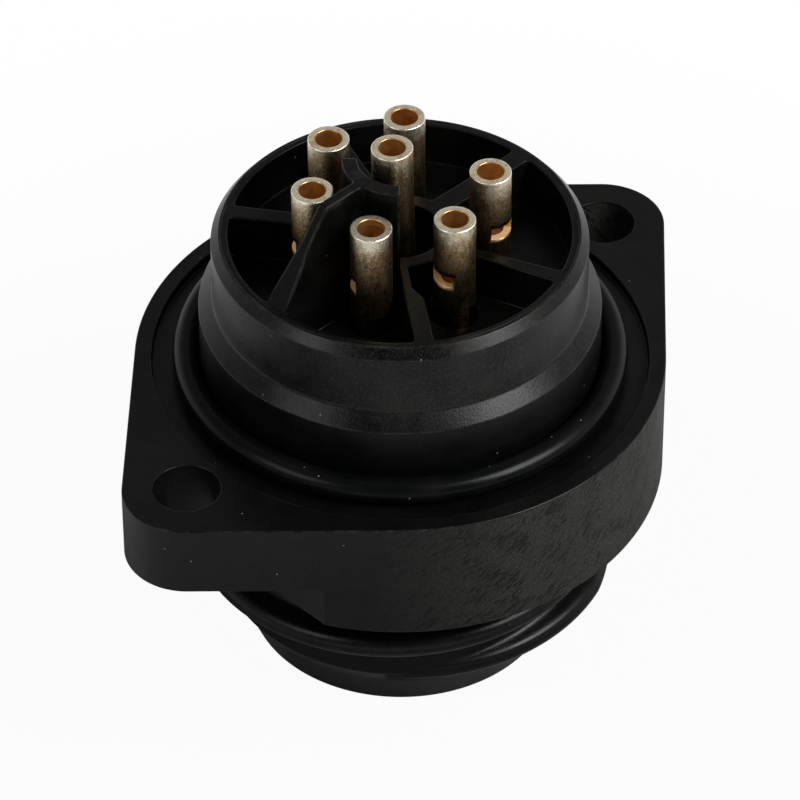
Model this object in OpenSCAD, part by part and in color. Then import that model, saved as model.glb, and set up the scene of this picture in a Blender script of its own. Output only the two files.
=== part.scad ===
// Round industrial flange connector, six contacts and earth, with crimp barrels at the wiring side.
// Millimetres. The origin is on the axis, at the flange face that carries the seal. +Z points to
// the wiring side, and the two fixing holes lie on the X axis.

/* [Contacts] */
// Radius of the circle on which the six contacts stand
contact_ring_r = 4.95; // [4.7:0.05:5.4]
// Angle between neighbouring contacts, which leaves one wider gap at the key
contact_step = 55; // [50:0.5:57]
// Outside diameter of the crimp barrels
barrel_d = 2.3; // [2:0.05:2.6]
// Diameter of the wire bore
wire_bore_d = 1.5; // [1.2:0.05:1.7]
// Height of the six barrel mouths above the flange face
barrel_top = 12.77; // [12:0.05:13.6]
// How much higher the earth barrel ends
earth_rise = 1.8; // [0:0.1:2.5]
// Lean of the earth contact and its hole, in degrees
earth_lean = 0.93; // [0:0.01:1]
// Direction of that lean, in degrees from +X
earth_lean_dir = 135.6; // [0:0.1:360]
// Distance from a barrel's mouth down to its inspection slot
slot_drop = 3.16; // [2.6:0.02:3.6]
// Height of the inspection slot
slot_h = 0.75; // [0.4:0.05:1]
// Width of the inspection slot
slot_w = 1.55; // [0.8:0.05:1.8]
// How far the wire bore runs on below the inspection slot
bore_past_slot = 0.05; // [0:0.05:1.5]
// Bevel at the foot of the barrel
barrel_bevel = 0.2; // [0.1:0.05:0.3]
// Stretch of thin neck between the barrel and the compartment floor
neck_show = 0.95; // [0.5:0.05:1.5]
// Diameter of the contact pins, and of the neck above the collars
pin_d = 1.6; // [1.3:0.05:1.7]
// Diameter of the land above the pin, which the web of the insert guides
land_d = 1.94; // [1.92:0.02:2.0]
// Height of each of the two collars that guide the contact in its hole
collar_ring_h = 1.5; // [1:0.1:2]
// Length of the groove between the collars, which holds the retaining clip
groove_len = 4.0; // [3:0.1:5]
// Diameter in the groove
groove_d = 1.6; // [1.3:0.05:1.7]
// Distance from the pin tips up to the nose end
pin_recess = 1.0; // [0.5:0.1:2]
// How much nearer to the nose end the earth pin reaches, to meet its socket first
earth_lead = 0.5; // [0:0.1:0.5]

/* [Retaining clips] */
// Thickness of the clip's strip
clip_t = 0.14; // [0.1:0.01:0.18]
// Width of the slit along the clip
clip_slit_w = 0.5; // [0.3:0.05:0.7]
// Angle that each spring tine takes round the clip
tine_angle = 50; // [30:1:70]
// Length of the spring tines
tine_len = 2.3; // [1.6:0.1:2.6]
// Play between the clip and what is round it
clip_play = 0.04; // [0.02:0.01:0.08]

/* [Contact insert] */
// Inside diameter of the open wiring cavity
cavity_d = 18.9; // [18.4:0.05:19.8]
// Wall of the ring round the cavity
insert_wall = 0.3; // [0.25:0.05:0.6]
// Depth of the wiring cavity, from the rim to its floor
cavity_depth = 2.66; // [2:0.05:4]
// Thickness of the floor plate, which sits on the housing's shoulder
floor_t = 2.5; // [1.5:0.1:3.5]
// Thickness of the web that the pins pass through
web_t = 2.0; // [1.5:0.1:2.5]
// Material between the contact holes and the outside of the front body
body_wall = 1.1; // [0.8:0.05:1.5]
// Play round the contacts' collars in their holes
throat_play = 0.12; // [0.12:0.02:0.2]
// Extra radius of the spring chamber below the throat
chamber_step = 0.2; // [0.14:0.01:0.3]
// Play of the contacts' lands in the web
land_play = 0.06; // [0.05:0.01:0.1]
// Inside radius of the hub ring round the earth contact
hub_r = 2.3; // [2:0.05:2.5]
// Wall of the hub ring
hub_wall = 0.85; // [0.6:0.05:0.95]
// Thickness of the plain ribs
rib_t = 1.15; // [0.8:0.05:1.4]
// Thickness of the two slender ribs beside the hub
slim_rib_t = 0.5; // [0.4:0.05:0.8]
// Height of the barrier above the flange face
barrier_top = 13.8; // [11:0.1:15]
// Angle of the barrier's ramp
barrier_ramp = 54; // [45:1:70]
// Thickness of the barrier at its foot
barrier_foot_t = 1.4; // [1:0.05:1.6]
// Thickness of the barrier at its top
barrier_top_t = 0.6; // [0.5:0.05:1]
// Angle that the raised part of the hub ring covers
barrier_arc = 92; // [60:1:120]

/* [Housing] */
// Play between the insert and the housing's bores
insert_play = 0.03; // [0.02:0.01:0.06]
// Wall of the collar round the insert
collar_wall = 0.62; // [0.5:0.02:0.9]
// Height of the collar's rim above the flange face
collar_h = 8.76; // [8:0.05:10]
// Bevel round the outside of the rim, measured down the wall
rim_bevel_h = 0.55; // [0.3:0.05:0.8]
// Bevel round the outside of the rim, measured across it
rim_bevel_w = 0.44; // [0.2:0.02:0.48]
// Extra radius of the seal seat beyond the collar
seat_step = 0.79; // [0.5:0.02:1.2]
// Height of the seal seat above the flange face
seat_h = 3.75; // [2.5:0.05:4.5]
// Height of the cone that joins the seat and the collar
seat_cone_h = 0.86; // [0.4:0.02:1.2]
// Width of the recess for the seal
recess_w = 2.7; // [1.8:0.05:3.2]
// Depth of the recess for the seal
recess_depth = 0.45; // [0.3:0.05:0.7]
// Width of the land outside the recess
land_w = 0.96; // [0.6:0.02:1.6]
// Thickness of the ears
ear_t = 4.4; // [3.5:0.1:5.5]
// Radius of each ear's round end
ear_r = 3.55; // [3:0.05:4.5]
// Diameter of the fixing holes
hole_d = 3.7; // [3.2:0.1:4.4]
// Material between a fixing hole and the seal recess
hole_wall = 0.51; // [0.3:0.01:1.5]
// Depth of the round boss, from the flange face down
boss_depth = 7.55; // [6:0.05:8]
// How far the boss's two flat sides are cut in from its round edge
boss_flat = 1.9; // [1.2:0.05:2.6]

/* [Nose] */
// Distance from the flange face to the nose end
nose_len = 18.47; // [17:0.05:20]
// Depth of the socket from the nose end to the insert's face
socket_depth = 6.97; // [6:0.05:8]
// Outside diameter of the round coupling thread
thread_d = 24; // [23.6:0.05:25]
// Pitch of the thread, eight turns to the inch
thread_pitch = 3.175; // [2.5:0.005:3.4]
// Distance from the nose end to the thread's first crest
thread_start = 3.46; // [2.8:0.02:4]
// Direction in which the thread starts, in degrees from +X
thread_from = 221; // [0:1:360]
// Turn over which the thread rises to full height
thread_fade = 75; // [40:5:120]
// Plain gap between the last crest and the boss
thread_gap = 1.15; // [0.9:0.05:3]
// Height of the tapered lip at the nose end
lip_h = 2.33; // [1.6:0.05:2.6]
// How much the lip narrows to the nose end
lip_taper = 0.94; // [0.4:0.02:1.2]
// Height of the cone between the thread's root and the lip
lip_cone_h = 1.14; // [0.6:0.02:1.4]
// How much that cone narrows
lip_cone_w = 0.77; // [0.4:0.02:0.9]
// Width of the key that guides the mating connector
key_w = 2.0; // [1.4:0.1:2.6]
// Height of the key above the wall of the socket
key_h = 0.9; // [0.5:0.05:0.95]
// Distance from the nose end to the start of the key
key_start = 1.0; // [0.5:0.1:2]

/* [Seal] */
// Thickness of the seal's round cord
seal_cord = 1.5; // [1.2:0.05:1.7]
// Play between the seal and the faces that it lies on
seal_play = 0.02; // [0.01:0.01:0.05]

/* [Hidden] */
$fn = 96;
// Cuts run this far past a face that they open
past = 0.5;
// Unions that would only touch are sunk this far into each other
sunk = 0.15;

// The way each barrel's slot faces, in degrees from +X, as the loose contacts happen to lie
slot_facing = [30, 50, 130, 136, 178, 271];
earth_slot_facing = 60;
contact_count = len(slot_facing);
first_contact = (360 - contact_step * (contact_count - 1)) / 2;

// Heights, from the flange face
floor_z = collar_h - cavity_depth;
shoulder_z = floor_z - floor_t;
mating_face_z = -nose_len + socket_depth;
web_top_z = mating_face_z + web_t;
throat_z = web_top_z + collar_ring_h + groove_len - clip_play;
lean_pivot_z = mating_face_z + web_t / 2;
barrel_foot_z = floor_z + neck_show;
wire_bore_depth = slot_drop + slot_h + bore_past_slot;
pin_tip_z = -nose_len + pin_recess;

// Radii, outwards from the contacts
barrel_r = barrel_d / 2;
pin_r = pin_d / 2;
throat_r = barrel_r + throat_play;
chamber_r = throat_r + chamber_step;
body_r = contact_ring_r + chamber_r + body_wall;
socket_r = body_r + insert_play;
ring_r = cavity_d / 2 + insert_wall;
bore_r = ring_r + insert_play;
collar_r = bore_r + collar_wall;
seat_r = collar_r + seat_step;
recess_r = seat_r + recess_w;
disc_r = recess_r + land_w;
hole_x = recess_r + hole_wall + hole_d / 2;
rib_from = hub_r + hub_wall / 2;
rib_to = cavity_d / 2 + insert_wall / 2;
boss_x = disc_r - boss_flat;

// Round thread: the crests and roots have the same radius, and the flanks lean 15 degrees
thread_depth = thread_pitch / 2;
thread_round = 0.2385 * thread_pitch;
flank_angle = 15;
root_r = thread_d / 2 - thread_depth;
lip_r = root_r - lip_cone_w;
thread_z = -nose_len + thread_start;
thread_turn = 360 * (-boss_depth - thread_gap - thread_z) / thread_pitch;
thread_steps = ceil(thread_turn / 9);

housing_colour = "#232527";
insert_colour = "#1c1e1f";
seal_colour = "#121313";
contact_colour = "#c9b797";
clip_colour = "#c79a4e";

// Half of the thread's section, as [distance outwards from the root, distance from the crest line]
root_bend = [for (a = [20, 50, 90 - flank_angle])
    [thread_round * (1 - cos(a)), thread_pitch / 2 - thread_round * sin(a)]];
crest_bend = [for (a = [90 - flank_angle, 50, 25])
    [thread_depth - thread_round * (1 - cos(a)), thread_round * sin(a)]];
half_ridge = concat([[-4 * sunk, thread_pitch / 2 - thread_round * sin(20)]], root_bend, crest_bend);
half_points = len(half_ridge);
ridge = concat(
    [for (p = half_ridge) [p[0], -p[1]]],
    [[thread_depth, 0]],
    [for (i = [half_points - 1:-1:0]) half_ridge[i]]
);

// How far the ridge has risen at a turn of t degrees from its start: 1 at full height, and never
// quite 0, so that its ends, sunk in the root, keep a section of their own
function rise(t) = max(0.05, min(1, t / thread_fade, (thread_turn - t) / thread_fade));

// A point of the ridge's section, lowered and narrowed where the thread fades into the root
function faded(p, k) = [
    p[0] < 0 ? p[0] : p[0] * k - sunk * (1 - k),
    p[1] * (0.5 + 0.5 * k)
];

// The ridge's section in space, at a turn of t degrees from its start
function ridge_at(t) = [for (p = ridge)
    let (q = faded(p, rise(t)), a = thread_from + t, r = root_r + q[0])
    [r * cos(a), r * sin(a), thread_z + thread_pitch * t / 360 + q[1]]];

// Triangles that close the end of the ridge, in strips across its section of m points
function end_faces(m, first, way) = [for (j = [0:(m - 3) / 2], side = [0, 1])
    let (a = first + j, b = first + m - 1 - j, tri = side == 0 ? [a, a + 1, b] : [a + 1, b - 1, b])
    if (tri[0] != tri[1]) way > 0 ? tri : [tri[2], tri[1], tri[0]]];

// Faces of a tube of n rings with m points each, closed at both ends
function tube_faces(n, m) = concat(
    end_faces(m, 0, -1),
    [for (i = [0:n - 2], j = [0:m - 1], side = [0, 1])
        let (k = (j + 1) % m, a = i * m, b = a + m)
        side == 0 ? [a + j, b + k, b + j] : [a + j, a + k, b + k]],
    end_faces(m, (n - 1) * m, 1)
);

// The ridge of the coupling thread, wound up the nose
module thread() {
    rings = [for (i = [0:thread_steps]) ridge_at(thread_turn * i / thread_steps)];
    polyhedron([for (ring = rings) each ring], tube_faces(len(rings), len(ridge)), convexity = 8);
}

// Plan of the flange: a disc and two round ears, joined by straight flanks that touch both
module flange_plan() {
    lean = (disc_r - ear_r) / hole_x;
    side = sqrt(1 - lean * lean);
    circle(disc_r);
    for (end = [-1, 1]) {
        translate([end * hole_x, 0]) circle(ear_r);
        polygon([
            [0, 0],
            [end * disc_r * lean, disc_r * side],
            [end * (hole_x + ear_r * lean), ear_r * side],
            [end * (hole_x + ear_r * lean), -ear_r * side],
            [end * disc_r * lean, -disc_r * side]
        ]);
    }
}

// The round boss under the flange, with its two flat sides
module boss() {
    intersection() {
        translate([0, 0, -boss_depth]) cylinder(boss_depth - recess_depth - sunk, r = disc_r);
        translate([-boss_x, -2 * disc_r, -2 * boss_depth]) cube([2 * boss_x, 4 * disc_r, 3 * boss_depth]);
    }
}

// The turned outline of nose, seal seat and collar, solid to the axis
module turned_body() {
    rotate_extrude() polygon([
        [0, -nose_len],
        [lip_r - lip_taper, -nose_len],
        [lip_r, -nose_len + lip_h],
        [root_r, -nose_len + lip_h + lip_cone_h],
        [root_r, -boss_depth + sunk],
        [seat_r, -boss_depth + sunk],
        [seat_r, seat_h],
        [collar_r, seat_h + seat_cone_h],
        [collar_r, collar_h - rim_bevel_h],
        [collar_r - rim_bevel_w, collar_h],
        [0, collar_h]
    ]);
}

// The bore for the insert: the socket, the shoulder and the wide bore of the collar
module housing_bore() {
    rotate_extrude() polygon([
        [0, -nose_len - past],
        [socket_r, -nose_len - past],
        [socket_r, shoulder_z],
        [bore_r, shoulder_z],
        [bore_r, collar_h + past],
        [0, collar_h + past]
    ]);
}

// The shallow recess that the seal lies in
module seal_recess() {
    rotate_extrude() polygon([
        [seat_r, -recess_depth],
        [recess_r, -recess_depth],
        [recess_r, past],
        [seat_r, past]
    ]);
}

// A bar along the wall of the socket, wide, and from radius inner to radius outer
module key_bar(wide, inner, outer, from_z, to_z) {
    intersection() {
        translate([0, -wide / 2, from_z]) cube([outer, wide, to_z - from_z]);
        translate([0, 0, from_z - past]) difference() {
            cylinder(to_z - from_z + 2 * past, r = outer);
            translate([0, 0, -past]) cylinder(to_z - from_z + 4 * past, r = inner);
        }
    }
}

module housing() {
    color(housing_colour) union() {
        difference() {
            union() {
                translate([0, 0, -ear_t]) linear_extrude(ear_t) flange_plan();
                boss();
                turned_body();
                thread();
            }
            housing_bore();
            seal_recess();
            for (end = [-1, 1]) {
                translate([end * hole_x, 0, -ear_t - past]) cylinder(ear_t + 2 * past, d = hole_d);
            }
        }
        key_bar(key_w, socket_r - key_h, socket_r + sunk, -nose_len + key_start, shoulder_z - sunk);
    }
}

// The insert's turned form: the front body and the floor plate
module insert_body() {
    edge = 0.3;
    rotate_extrude() polygon([
        [0, mating_face_z],
        [body_r - edge, mating_face_z],
        [body_r, mating_face_z + edge],
        [body_r, shoulder_z],
        [ring_r, shoulder_z],
        [ring_r, floor_z],
        [0, floor_z]
    ]);
}

// A straight rib from the hub to the ring, as thick at its two ends as asked
module rib(angle, inner_t, outer_t) {
    rotate(angle) polygon([
        [rib_from, -inner_t / 2],
        [rib_to, -outer_t / 2],
        [rib_to, outer_t / 2],
        [rib_from, inner_t / 2]
    ]);
}

// A rib with a slim stem that widens on one side, halfway to the ring
module waisted_rib(angle, wide_t) {
    low = -wide_t / 2;
    rotate(angle) polygon([
        [rib_from, low],
        [rib_to, low],
        [rib_to, low + wide_t],
        [contact_ring_r + 1, low + wide_t],
        [contact_ring_r, low + slim_rib_t],
        [rib_from, low + slim_rib_t]
    ]);
}

// Plan of what stands on the floor plate up to the rim: the ring, the hub and the ribs between
// the contacts
module rib_plan() {
    difference() {
        circle(ring_r);
        circle(cavity_d / 2);
    }
    difference() {
        union() {
            circle(hub_r + hub_wall);
            rib(0, 1.1 * rib_t, rib_t);
            rib(first_contact + 0.5 * contact_step, rib_t, rib_t);
            rib(first_contact + 1.5 * contact_step, 0.9 * rib_t, 0.9 * rib_t);
            waisted_rib(first_contact + 3.5 * contact_step - 1.4, 0.9 * rib_t);
            rib(first_contact + 4.5 * contact_step + 1, slim_rib_t, 0.85 * rib_t);
        }
        circle(hub_r);
    }
}

// The part of the hub ring that rises to the barrier's height
module raised_hub() {
    reach = 4 * hub_r;
    half = barrier_arc / 2;
    translate([0, 0, floor_z - sunk]) linear_extrude(barrier_top - floor_z + sunk) intersection() {
        difference() {
            circle(hub_r + hub_wall);
            circle(hub_r);
        }
        polygon([[0, 0], [-reach, -reach * tan(half)], [-reach, reach * tan(half)]]);
    }
}

// The tall barrier between the two contacts opposite the key, with its ramp down to the ring
module barrier() {
    ring_in = cavity_d / 2;
    ramp_foot_z = collar_h - 0.1;
    ramp_w = (barrier_top - ramp_foot_z) / tan(barrier_ramp);
    draft_z = collar_h + 0.4;
    blade_z = barrier_top - 1.8;
    rotate(180) intersection() {
        rotate([90, 0, 0]) linear_extrude(2 * barrier_foot_t, center = true) polygon([
            [hub_r + hub_wall / 2, floor_z - sunk],
            [ring_in + sunk, floor_z - sunk],
            [ring_in + sunk, ramp_foot_z - sunk * tan(barrier_ramp)],
            [ring_in - ramp_w, barrier_top],
            [hub_r + hub_wall / 2, barrier_top]
        ]);
        rotate([90, 0, 90]) linear_extrude(2 * ring_in) polygon([
            [-barrier_foot_t / 2, floor_z - past],
            [barrier_foot_t / 2, floor_z - past],
            [barrier_foot_t / 2, draft_z],
            [barrier_top_t / 2, blade_z],
            [barrier_top_t / 2, barrier_top + past],
            [-barrier_top_t / 2, barrier_top + past],
            [-barrier_top_t / 2, blade_z],
            [-barrier_foot_t / 2, draft_z]
        ]);
    }
}

// Puts a contact, its hole or its clip at the place of contact i, or of the earth contact for i = 0,
// which leans a little, together with its hole, about the middle of the web
module at_contact(i) {
    pivot = [0, 0, lean_pivot_z];
    if (i == 0) {
        translate(pivot) rotate(earth_lean_dir) rotate([0, earth_lean, 0]) rotate(-earth_lean_dir)
            translate(-pivot) children();
    } else {
        rotate(first_contact + contact_step * (i - 1)) translate([contact_ring_r, 0, 0]) children();
    }
}

// The stepped hole that a contact is pushed into from the wiring side
module contact_hole() {
    translate([0, 0, mating_face_z - past]) cylinder(web_t + 2 * past, r = land_d / 2 + land_play);
    translate([0, 0, web_top_z]) cylinder(throat_z - web_top_z, r = chamber_r);
    translate([0, 0, throat_z - past]) cylinder(floor_z - throat_z + 2 * past, r = throat_r);
}

module contact_insert() {
    color(insert_colour) difference() {
        union() {
            insert_body();
            translate([0, 0, floor_z - sunk]) linear_extrude(cavity_depth + sunk) rib_plan();
            raised_hub();
            barrier();
        }
        for (i = [0:contact_count]) at_contact(i) contact_hole();
        key_bar(key_w + 4 * insert_play, body_r - key_h - insert_play, body_r + past,
            mating_face_z - past, shoulder_z);
    }
}

module panel_seal() {
    color(seal_colour)
        translate([0, 0, seal_cord / 2 - recess_depth + seal_play])
        rotate_extrude() translate([seat_r + seal_cord / 2 + seal_play, 0]) circle(d = seal_cord, $fn = 48);
}

// One turned contact: pin, two collars with the clip's groove between them, neck and crimp barrel
module contact_form(top_z, tip_z) {
    land_foot_z = mating_face_z - 0.1;
    groove_z = web_top_z + collar_ring_h;
    rear_collar_z = groove_z + groove_len;
    difference() {
        union() {
            translate([0, 0, tip_z + pin_r]) sphere(pin_r, $fn = 48);
            translate([0, 0, tip_z + pin_r]) cylinder(land_foot_z - tip_z - pin_r + sunk, r = pin_r);
            translate([0, 0, land_foot_z]) cylinder(web_top_z - land_foot_z + sunk, d = land_d);
            translate([0, 0, web_top_z]) cylinder(collar_ring_h, r = barrel_r);
            translate([0, 0, groove_z - sunk]) cylinder(groove_len + 2 * sunk, d = groove_d);
            translate([0, 0, rear_collar_z]) cylinder(collar_ring_h, r = barrel_r);
            translate([0, 0, rear_collar_z]) cylinder(barrel_foot_z - rear_collar_z + sunk, r = pin_r);
            translate([0, 0, barrel_foot_z])
                cylinder(barrel_bevel, r1 = barrel_r - barrel_bevel, r2 = barrel_r);
            translate([0, 0, barrel_foot_z + barrel_bevel])
                cylinder(top_z - barrel_foot_z - barrel_bevel, r = barrel_r);
        }
        translate([0, 0, top_z - wire_bore_depth]) cylinder(wire_bore_depth + past, d = wire_bore_d);
    }
}

// The milled slot through which the wire is seen in the barrel
module inspection_slot(top_z, facing) {
    rotate(facing) translate([0, -slot_w / 2, top_z - slot_drop - slot_h]) cube([barrel_d, slot_w, slot_h]);
}

// Contact i of the ring
module contact(i) {
    facing = slot_facing[i - 1] - first_contact - contact_step * (i - 1);
    color(contact_colour) at_contact(i) difference() {
        contact_form(barrel_top, pin_tip_z);
        inspection_slot(barrel_top, facing);
    }
}

module contact_earth() {
    top_z = barrel_top + earth_rise;
    color(contact_colour) at_contact(0) difference() {
        contact_form(top_z, pin_tip_z - earth_lead);
        inspection_slot(top_z, earth_slot_facing);
    }
}

// A wedge from the axis, as wide as the angle asked, centred on +X
module wedge(angle, from_z, to_z) {
    reach = 2 * barrel_d;
    translate([0, 0, from_z]) linear_extrude(to_z - from_z) polygon([
        [0, 0],
        [reach, -reach * tan(angle / 2)],
        [reach, reach * tan(angle / 2)]
    ]);
}

// The stamped clip in the groove: a slit sleeve with three tines that spring out under the throat
module clip_form() {
    inner = groove_d / 2 + clip_play;
    foot_z = web_top_z + collar_ring_h + clip_play;
    head_z = throat_z - clip_play;
    tine_z = head_z - tine_len;
    spread = chamber_r - clip_play - inner - clip_t;
    difference() {
        translate([0, 0, foot_z]) cylinder(head_z - foot_z, r = inner + clip_t);
        translate([0, 0, foot_z - past]) cylinder(head_z - foot_z + 2 * past, r = inner);
        translate([0, -clip_slit_w / 2, foot_z - past]) cube([barrel_d, clip_slit_w, groove_len + 2 * past]);
        for (a = [60, 180, 300]) rotate(a) wedge(tine_angle, tine_z, head_z + past);
    }
    for (a = [60, 180, 300]) intersection() {
        rotate(a) wedge(tine_angle - 8, tine_z - 0.3, head_z + past);
        rotate_extrude() polygon([
            [inner, tine_z - 0.3],
            [inner + clip_t, tine_z - 0.3],
            [inner + clip_t + spread, head_z],
            [inner + spread, head_z]
        ]);
    }
}

module clip(i) {
    color(clip_colour) at_contact(i) clip_form();
}

housing();
contact_insert();
panel_seal();
for (i = [1:contact_count]) contact(i);
contact_earth();
for (i = [1:contact_count]) clip(i);
clip(0);  // clip_earth
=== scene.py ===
import math
from functools import partial

import bmesh
import bpy
import numpy as np
from mathutils import Matrix, Vector
from mathutils.geometry import delaunay_2d_cdt


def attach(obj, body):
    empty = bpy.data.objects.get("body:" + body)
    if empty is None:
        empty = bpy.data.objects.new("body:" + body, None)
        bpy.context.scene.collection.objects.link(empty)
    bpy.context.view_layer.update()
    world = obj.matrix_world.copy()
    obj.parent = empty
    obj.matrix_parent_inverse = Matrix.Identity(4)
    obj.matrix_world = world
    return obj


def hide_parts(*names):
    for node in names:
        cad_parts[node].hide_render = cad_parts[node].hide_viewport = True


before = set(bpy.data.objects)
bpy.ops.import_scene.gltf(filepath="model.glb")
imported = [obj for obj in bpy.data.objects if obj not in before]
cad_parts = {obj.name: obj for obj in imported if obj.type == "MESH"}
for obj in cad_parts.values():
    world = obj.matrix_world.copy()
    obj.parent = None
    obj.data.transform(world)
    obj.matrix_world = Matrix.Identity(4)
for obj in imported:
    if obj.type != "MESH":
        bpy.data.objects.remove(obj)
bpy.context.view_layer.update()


# ---- Housing ----
# The black body: a two-hole flange on a round boss with two flats, a collar and seal seat above it,
# and a threaded nose below. Glass-filled polyamide, injection moulded in one shot; its parting edges
# are crisp, with the small radii that the mould's corners leave.

# Sizes are in millimetres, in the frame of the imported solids, until piece() turns them to metres
flange_disc_r = 14.85
flange_t = 4.4
ear_r = 3.55
screw_x = 16.25
screw_hole_r = 1.85
boss_foot_z = -7.55
boss_flat_x = 12.95

recess_r = 13.89
recess_z = -0.45
seat_r = 11.1912
seat_top_z = 3.75
collar_r = 10.4012
collar_foot_z = 4.61
rim_bevel_z = 8.21
rim_bevel_r = 9.9612
rim_z = 8.76
collar_bore_r = 9.78
shoulder_z = 3.60
socket_r = 7.55

nose_end_z = -18.47
lip_end_r = 8.7025
lip_r = 9.6425
lip_top_z = -16.14
thread_root_r = 10.4125
thread_root_z = -15.0
thread_pitch = 3.175
thread_depth = 1.5875
thread_round = 0.757
first_crest_z = -15.01
thread_starts_at = 221
thread_turn = 715.5
thread_fades_over = 75
thread_sunk = 0.15
ridge_half_w = 1.3286

key_w = 2.0
key_top_r = 6.65
key_from_z = -17.47
key_to_z = 3.45

flange_edge = 0.07
screw_hole_edge = 0.04
mould_edge = 0.09
key_corner = 0.2
key_edge = 0.06
key_sunk = 0.3
thread_gap = 0.15
crest_share = 0.8

spokes_round = 360
close_lead = 0.02
merge_within = 1.2e-6


def rounded(corners, steps=5, lead=0.05):
    """Points of a polyline with rounded corners, as rows of (x, y, bend), from corners in rows of
    (x, y, radius). A corner of radius r becomes an arc that leaves each side r * tan(turn / 2) before
    the corner and turns in equal steps. bend is 1 inside an arc that turns left, which is an outer edge
    of the solid, and 0 elsewhere. A point at the distance lead before and after each arc keeps the
    straight sides flat in the shading. A radius of 0 leaves a corner as it is."""
    corners = np.asarray(corners, float)
    places = corners[:, :2]
    made = []
    for i, (here, radius) in enumerate(zip(places, corners[:, 2])):
        if radius == 0:
            made.append([[*here, 0.0]])
            continue
        before, after = places[i - 1], places[(i + 1) % len(places)]
        into = (here - before) / np.linalg.norm(here - before)
        away = (after - here) / np.linalg.norm(after - here)
        turn = math.atan2(into[0] * away[1] - into[1] * away[0], into @ away)
        start = here - into * radius * math.tan(abs(turn) / 2)
        centre = start + np.array([-into[1], into[0]]) * math.copysign(radius, turn)
        angles = np.linspace(0, turn, steps + 1)
        spoke = start - centre
        arc = centre + np.column_stack([
            spoke[0] * np.cos(angles) - spoke[1] * np.sin(angles),
            spoke[0] * np.sin(angles) + spoke[1] * np.cos(angles)])
        bend = np.full(len(arc), float(turn > 0))
        bend[[0, -1]] *= 0.5
        first, last = arc[0] - into * lead, arc[-1] + away * lead
        made.append(np.vstack([[*first, 0.0], np.column_stack([arc, bend]), [*last, 0.0]]))
    return np.vstack(made)


def spokes(angles):
    """Unit vectors in the plan at an array of angles, counter-clockwise from the X axis."""
    return np.column_stack([np.cos(angles), np.sin(angles)])


def full_turn(count):
    """Angles of one full turn in equal steps."""
    return np.linspace(0, 2 * np.pi, count, endpoint=False)


def outward(loop):
    """Normals of a counter-clockwise plan loop: at each point, the direction from the point before it
    to the point after it, turned a quarter clockwise."""
    along = np.roll(loop, -1, 0) - np.roll(loop, 1, 0)
    along /= np.linalg.norm(along, axis=1, keepdims=True)
    return np.column_stack([along[:, 1], -along[:, 0]])


def carried(loop, normals, profile):
    """A profile carried round a plan loop: its point (d, z) lies d outside each point of the loop, at
    the height z. Gives an array of rows by columns by (x, y, z, bend)."""
    profile = np.asarray(profile, float)
    place = loop[None] + profile[:, None, :1] * normals[None]
    shape = place.shape[:2]
    height = np.broadcast_to(profile[:, 1][:, None], shape)
    bend = np.broadcast_to(profile[:, 2][:, None] if profile.shape[1] > 2 else 0.0, shape)
    return np.dstack([place, height, bend])


def turned(profile, count=spokes_round):
    """A profile of (radius, height) turned once round the Z axis."""
    return carried(np.zeros((count, 2)), spokes(full_turn(count)), profile)


def skin(rows, soft=True, only=None):
    """A patch of four-sided faces between rows of points, each row closed into a loop: corner j and
    j + 1 of a row with the same two of the next. only keeps the columns where it is true."""
    height, count = rows.shape[:2]
    i, j = np.meshgrid(np.arange(height - 1), np.arange(count), indexing="ij")
    k = (j + 1) % count
    faces = np.stack([i * count + j, i * count + k, (i + 1) * count + k, (i + 1) * count + j], -1)
    if only is not None:
        faces = faces[:, only]
    return rows.reshape(-1, rows.shape[2]), faces.reshape(-1, 4), soft


def level(height, outline, holes=(), up=True):
    """A patch of triangles that fills a flat face at one height, inside its outline and outside its
    holes, by a Delaunay triangulation that keeps the sides of every loop. Triangles that meet at any
    other side are one region, which stays if a ray from its largest triangle crosses an odd number of
    sides."""
    loops = [np.asarray(loop)[:, :2] for loop in (outline, *holes)]
    firsts = np.cumsum([0] + [len(loop) for loop in loops])
    sides = [(first + i, first + (i + 1) % len(loop))
             for first, loop in zip(firsts, loops) for i in range(len(loop))]
    points, joins, faces, _, sources, _ = delaunay_2d_cdt(
        [Vector(p) for p in np.vstack(loops)], sides, [], 0, 1e-6)
    points, faces = np.array([p[:] for p in points]), np.array(faces)
    walls = np.sort([join for join, source in zip(joins, sources) if source], axis=1) @ (len(points), 1)
    keys = (np.sort(np.stack([faces, np.roll(faces, -1, 1)], -1), -1) @ (len(points), 1)).ravel()
    order = np.argsort(keys, kind="stable")
    meet = np.flatnonzero((keys[order][1:] == keys[order][:-1]) & ~np.isin(keys[order][1:], walls))
    one, other = order[meet] // 3, order[meet + 1] // 3
    region = np.arange(len(faces))
    while (region[one] != region[other]).any():
        low = np.minimum(region[one], region[other])
        np.minimum.at(region, one, low)
        np.minimum.at(region, other, low)
        region = region[region]
    a, b, c = (points[faces[:, i]] for i in range(3))
    area = (b[:, 0] - a[:, 0]) * (c[:, 1] - a[:, 1]) - (b[:, 1] - a[:, 1]) * (c[:, 0] - a[:, 0])
    largest = np.zeros(len(faces), int)
    by_area = np.argsort(np.abs(area))
    largest[region[by_area]] = by_area
    x, y = np.hsplit(((a + b + c) / 3)[largest[region]], 2)
    start, stop = np.vstack(loops), np.vstack([np.roll(loop, -1, 0) for loop in loops])
    climb = np.where(start[:, 1] == stop[:, 1], 1, stop[:, 1] - start[:, 1])
    meets_at = start[:, 0] + (y - start[:, 1]) / climb * (stop[:, 0] - start[:, 0])
    odd = (((start[:, 1] > y) != (stop[:, 1] > y)) & (x < meets_at)).sum(1) % 2 == 1
    faces = np.where(((area < 0) == up)[:, None], faces[:, ::-1], faces)[odd]
    return np.column_stack([points, np.full((len(points), 2), (height, 0))]), faces, False


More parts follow.
